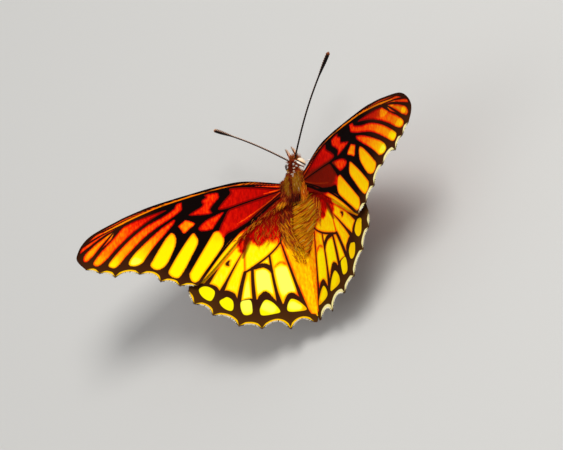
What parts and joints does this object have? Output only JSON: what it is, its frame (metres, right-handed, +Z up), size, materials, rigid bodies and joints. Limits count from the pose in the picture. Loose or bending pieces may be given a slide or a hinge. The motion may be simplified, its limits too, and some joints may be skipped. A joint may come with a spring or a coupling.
{
  "type": "mexican silverspot butterfly",
  "caption": "Life-size model of a long-winged orange butterfly standing with its scalloped wings held open in a shallow V, feelers forward and tongue coiled.",
  "frame": {"origin": "on the floor, under the middle of the whole model's box", "axes": "+X to the butterfly's right, +Y towards its head, +Z up"},
  "size_m": [0.0806, 0.0515, 0.0275],
  "materials": {
    "wing": "thin membrane with overlapping scales, orange to yellow with dark brown veins and margins",
    "body": "olive brown fur over dark cuticle",
    "eye": "smooth dark brown",
    "feeler": "near black cuticle",
    "leg": "brown cuticle with pale scales"
  },
  "bodies": {
    "root": {"thorax": "body", "head": "body", "abdomen": "body", "eye_left": "eye", "eye_right": "eye", "palp_left": "leg", "palp_right": "leg", "proboscis": "feeler", "antenna_left": "feeler", "antenna_right": "feeler", "forewing_left": "wing", "forewing_right": "wing", "hindwing_left": "wing", "hindwing_right": "wing", "foreleg_left": "leg", "foreleg_right": "leg", "midleg_left": "leg", "midleg_right": "leg", "hindleg_left": "leg", "hindleg_right": "leg"}
  },
  "joints": []
}
